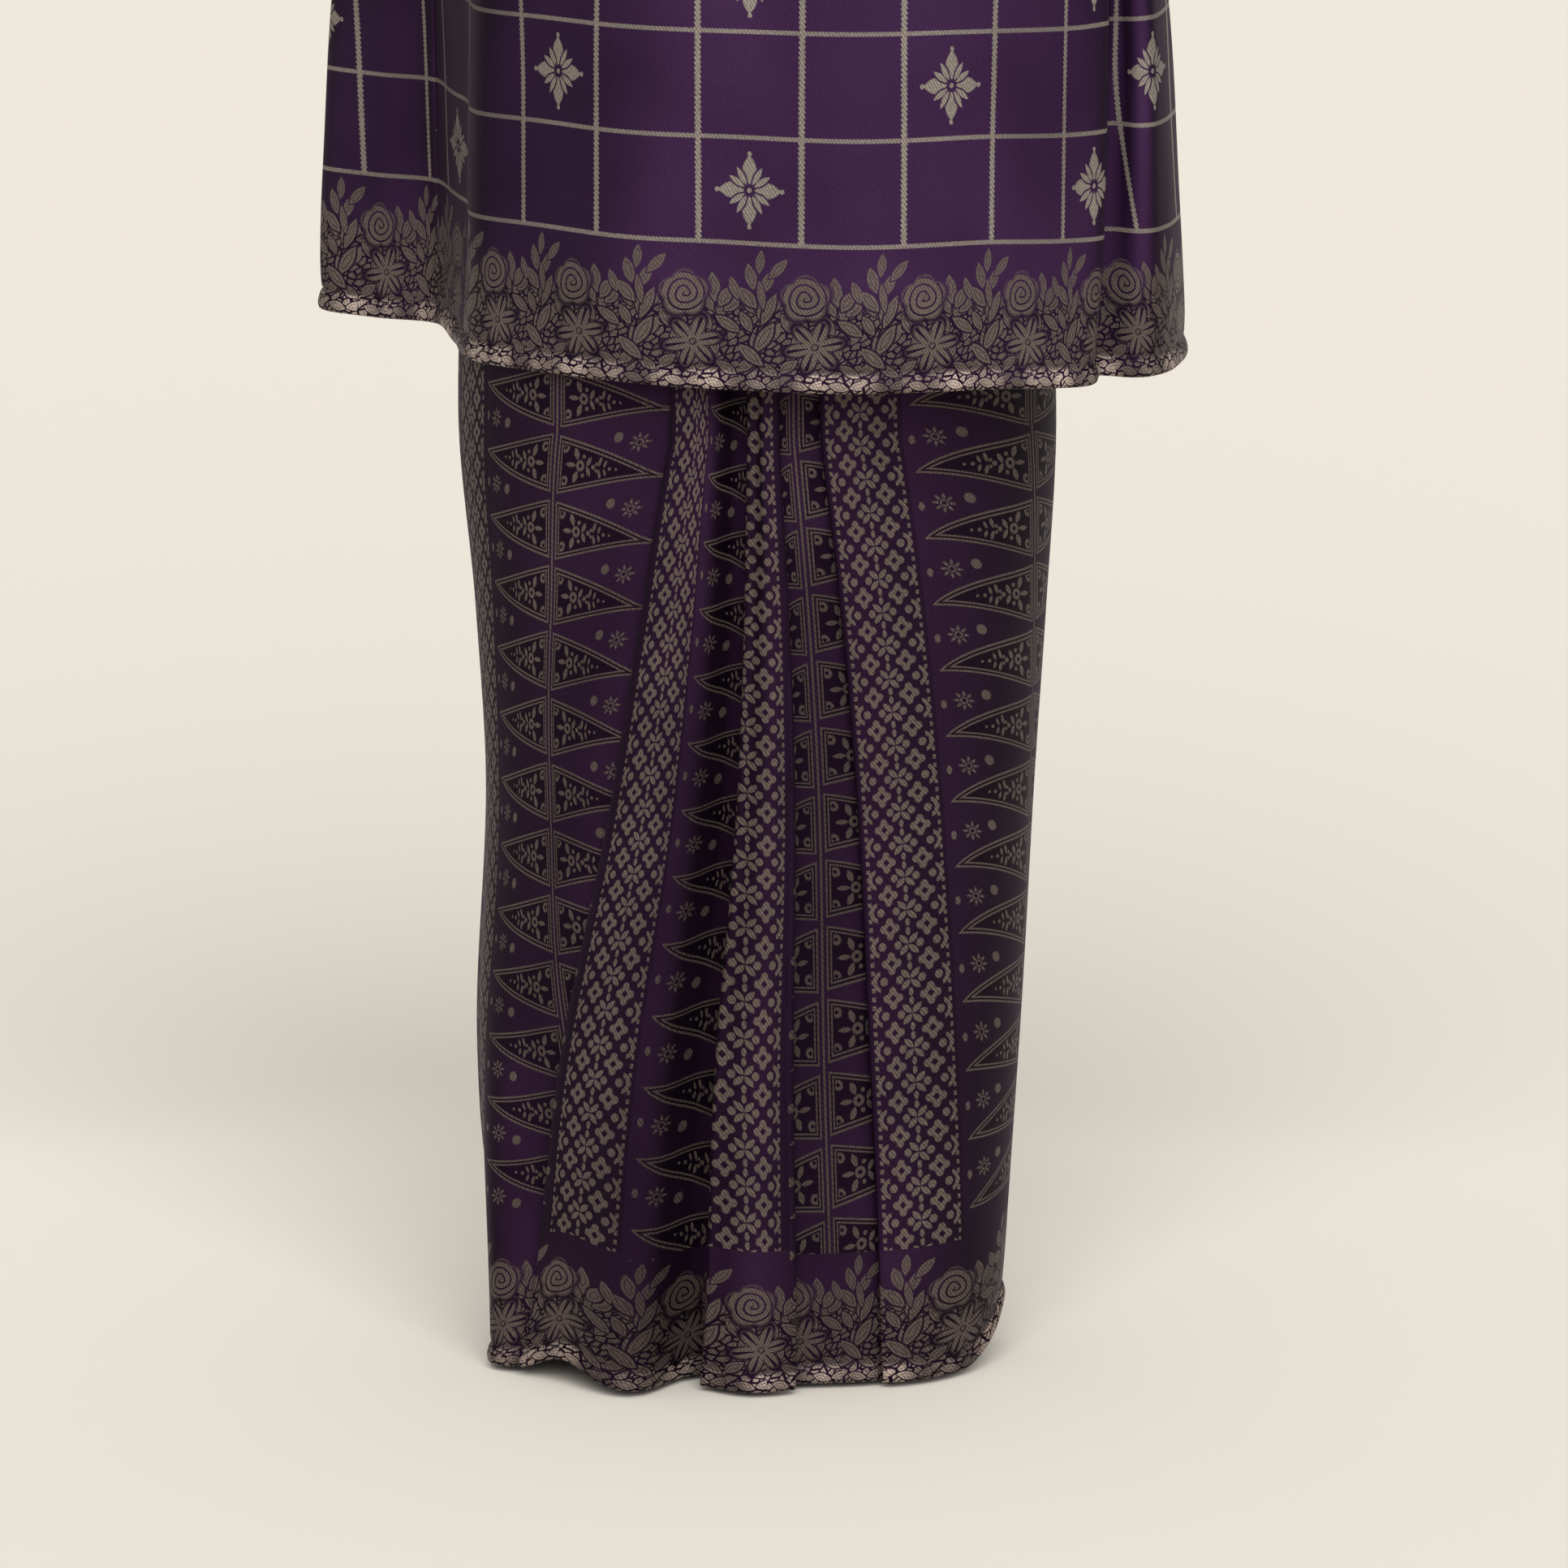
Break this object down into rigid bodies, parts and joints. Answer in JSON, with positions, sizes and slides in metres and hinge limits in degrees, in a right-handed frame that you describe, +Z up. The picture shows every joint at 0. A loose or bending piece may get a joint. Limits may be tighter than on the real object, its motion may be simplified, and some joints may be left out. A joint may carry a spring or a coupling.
{
  "type": "baju kurung, a loose gored tunic over a front-pleated skirt cloth, filled out as worn",
  "caption": "Songket baju kurung in dark purple: wide tunic with side gores, gussets and straight sleeves over a long tube skirt with front pleats.",
  "frame": {"origin": "middle of the neck opening, level with the neck ends of the shoulder seams", "axes": "+Z up, -Y to the front, +X to the wearer's left"},
  "size_m": [1.3492, 0.3369, 1.3907],
  "materials": {
    "tunic_cloth": "dark purple brocade with a check and stars in dull gold thread",
    "skirt_cloth": "dark purple brocade with bamboo-shoot panels and lattice bands in dull gold thread",
    "band_cloth": "plain dark purple cloth"
  },
  "bodies": {
    "root": {"tunic_front": "tunic_cloth", "tunic_back": "tunic_cloth", "gore_left": "tunic_cloth", "gore_right": "tunic_cloth", "gusset_left": "tunic_cloth", "gusset_right": "tunic_cloth", "sleeve_left": "tunic_cloth", "sleeve_right": "tunic_cloth", "skirt": "skirt_cloth", "waistband": "band_cloth"}
  },
  "joints": []
}
